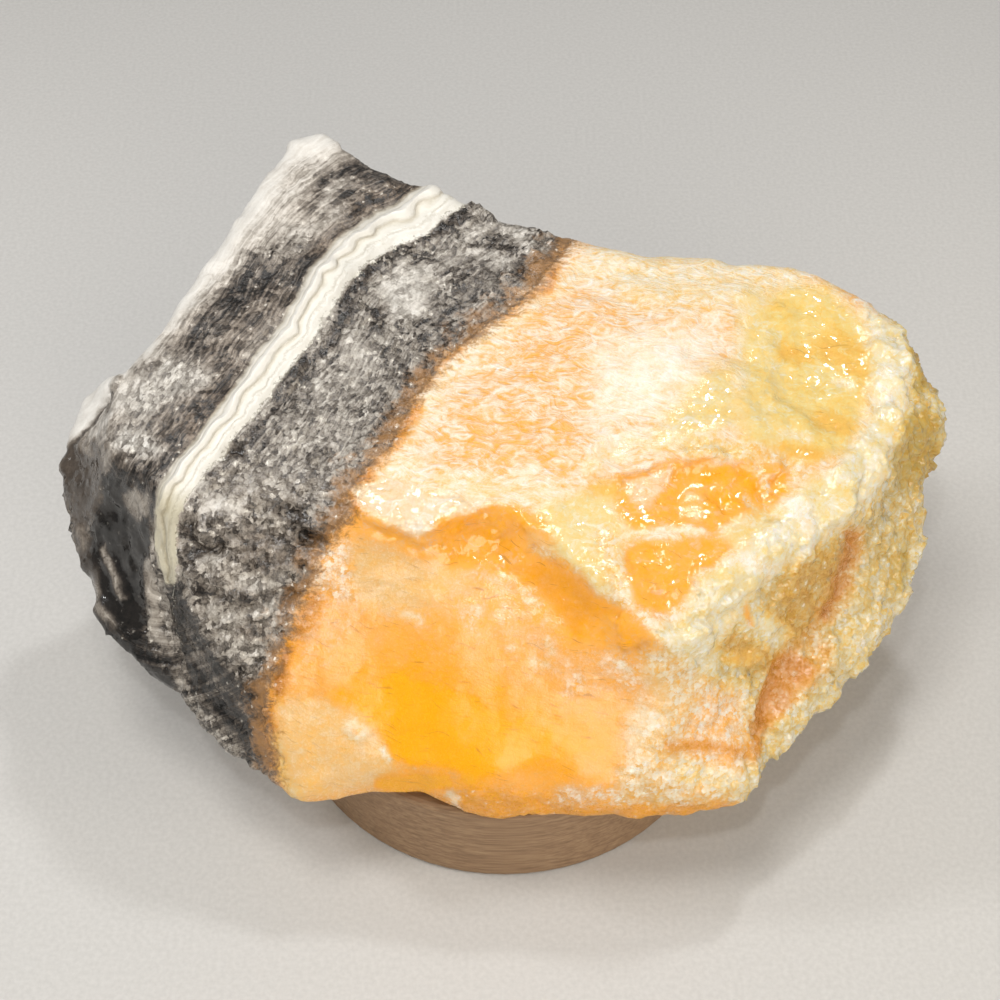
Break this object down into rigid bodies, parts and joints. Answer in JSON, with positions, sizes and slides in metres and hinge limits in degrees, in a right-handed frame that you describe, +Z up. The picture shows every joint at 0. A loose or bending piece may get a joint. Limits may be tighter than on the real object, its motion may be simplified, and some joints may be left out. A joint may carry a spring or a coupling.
{
  "type": "calcite specimen",
  "caption": "Rough block of banded calcite, grey and white at one end and orange at the other, lying on a round turned wooden stand.",
  "frame": {"origin": "middle of the stand's underside, on the surface that the stand rests on", "axes": "+X along the stone's length from the grey banded end to the pale end, -Y the orange front, +Z up"},
  "size_m": [0.1991, 0.1425, 0.098],
  "materials": {
    "banded_calcite": "broken and partly waxy, wet-looking gloss",
    "turned_wood": "turned, matt"
  },
  "bodies": {
    "root": {"calcite_stone": "banded_calcite", "wooden_stand": "turned_wood"}
  },
  "joints": []
}
